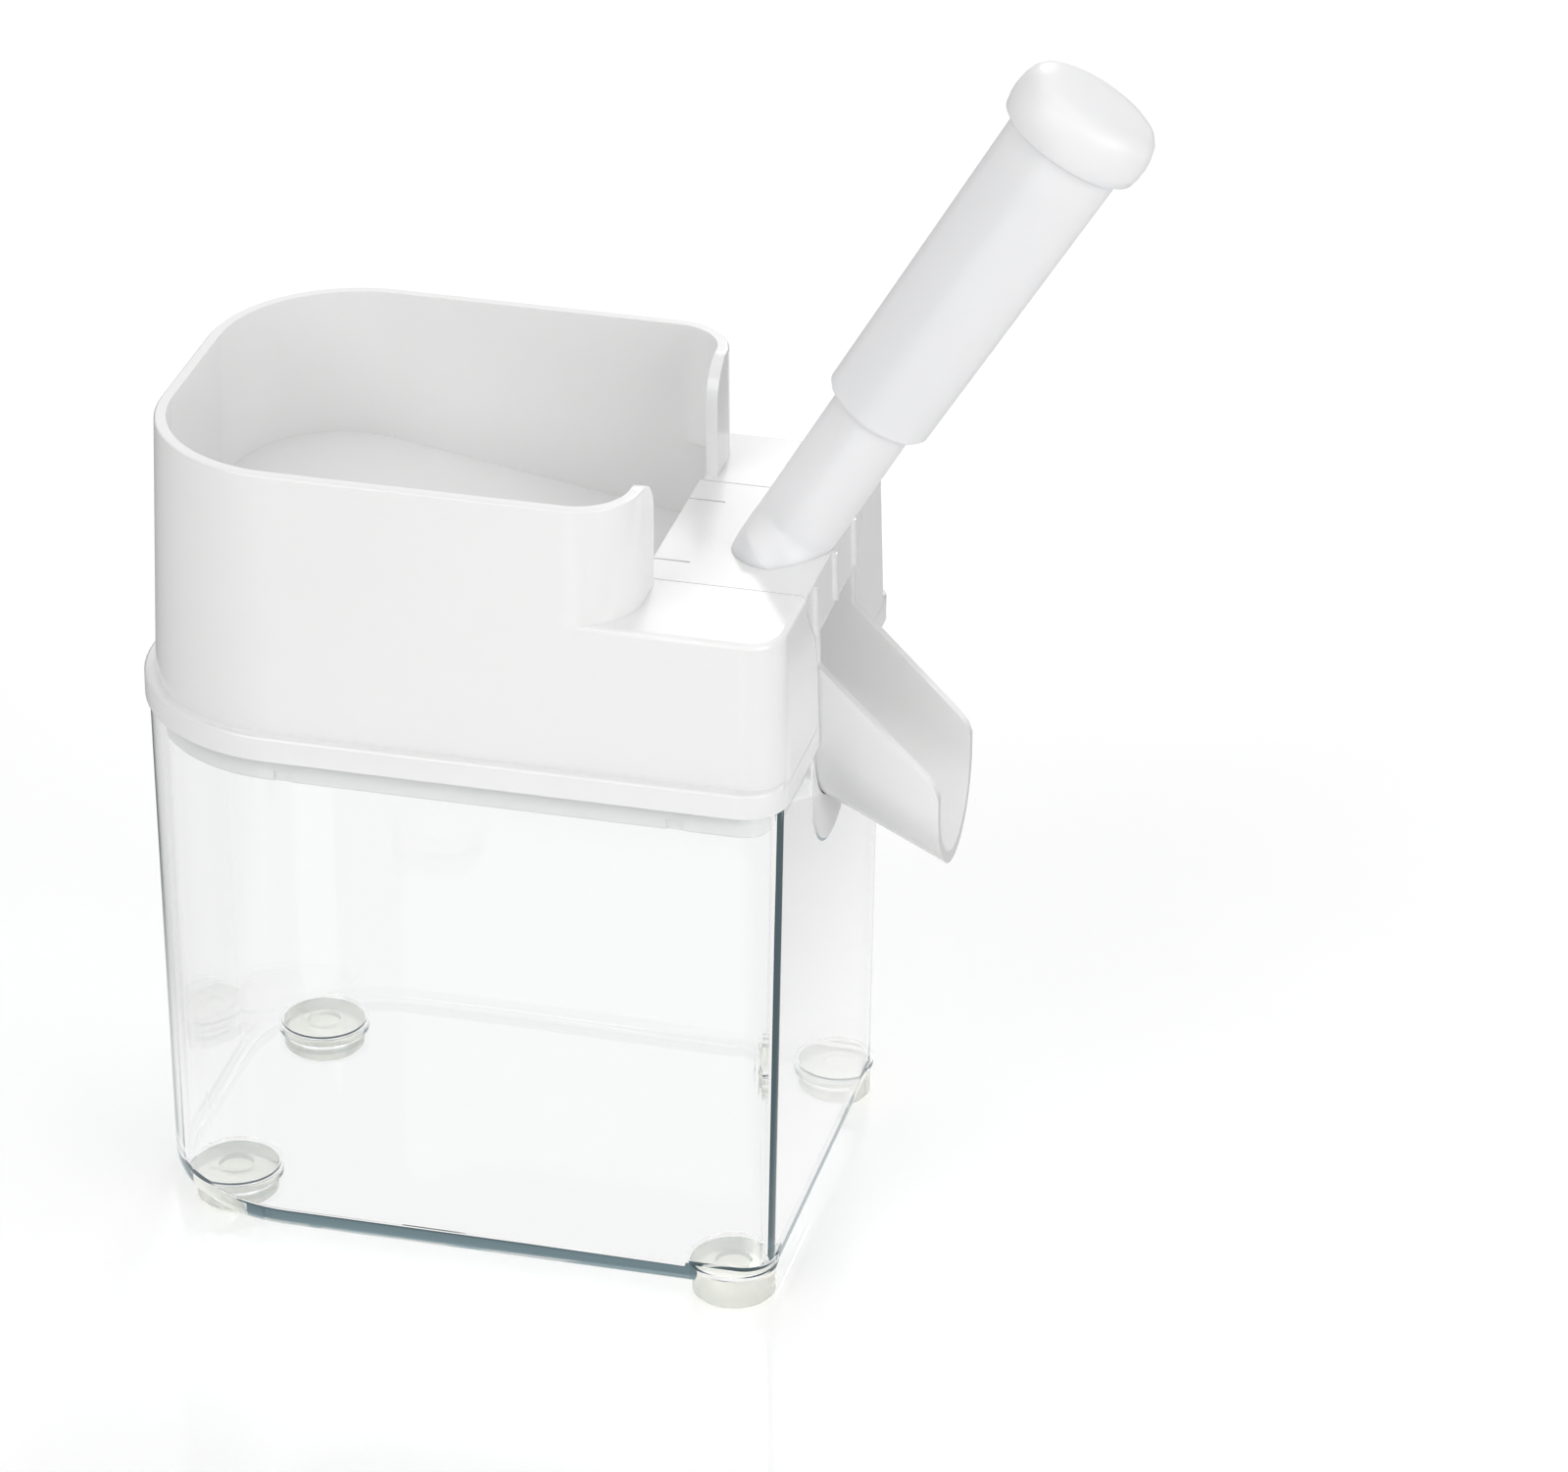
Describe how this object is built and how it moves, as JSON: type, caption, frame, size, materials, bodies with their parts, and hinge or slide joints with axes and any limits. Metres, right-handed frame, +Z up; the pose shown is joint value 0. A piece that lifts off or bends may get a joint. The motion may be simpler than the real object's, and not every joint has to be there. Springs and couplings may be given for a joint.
{
  "type": "cherry pitter",
  "caption": "Free-standing cherry pitter: sprung plunger on an inclined neck, hopper housing, removable pitting head with chute, and a clear pit container on soft feet.",
  "frame": {"origin": "on the resting plane under the soft feet, midway along and midway across the whole object's box, which runs from the hopper end of the flange to the palm cap", "axes": "+X from the hopper end to the chute, +Y to the back, +Z up"},
  "size_m": [0.2012, 0.1008, 0.2582],
  "materials": {
    "white_gloss": "glossy",
    "white_satin": "satin",
    "clear_plastic": "clear plastic, glossy",
    "silicone": "translucent, satin",
    "steel": "satin"
  },
  "bodies": {
    "container_body": {"container": "clear_plastic", "foot_front_left": "silicone", "foot_front_right": "silicone", "foot_rear_left": "silicone", "foot_rear_right": "silicone"},
    "housing_body": {"housing": "white_gloss", "inner_frame": "white_gloss", "cherry_cup": "white_satin", "cup_gasket": "silicone", "gasket_ring": "white_satin"},
    "head_body": {"pitting_head": "white_gloss", "guide_neck": "white_satin", "guide_bush": "white_satin", "stripper_plate": "steel", "neck_screws": "steel"},
    "plunger": {"grip_sleeve": "white_satin", "palm_cap": "white_satin", "plunger_rod": "steel", "pitting_crown": "steel", "cap_screw": "steel", "spring_washer": "steel", "return_spring": "steel"}
  },
  "joints": [
    {"name": "housing_lift", "type": "slide", "parent": "container_body", "child": "housing_body", "axis": [0, 0, 1], "range_m": [0, 0.04]},
    {"name": "head_lift", "type": "slide", "parent": "housing_body", "child": "head_body", "axis": [0, 0, 1], "range_m": [0, 0.06]},
    {"name": "plunger_press", "type": "slide", "parent": "head_body", "child": "plunger", "axis": [-0.512, 0, -0.859], "range_m": [0, 0.03], "stiffness_N_per_m": 400, "springref_m": -0.012, "deforming": ["return_spring"]}
  ]
}
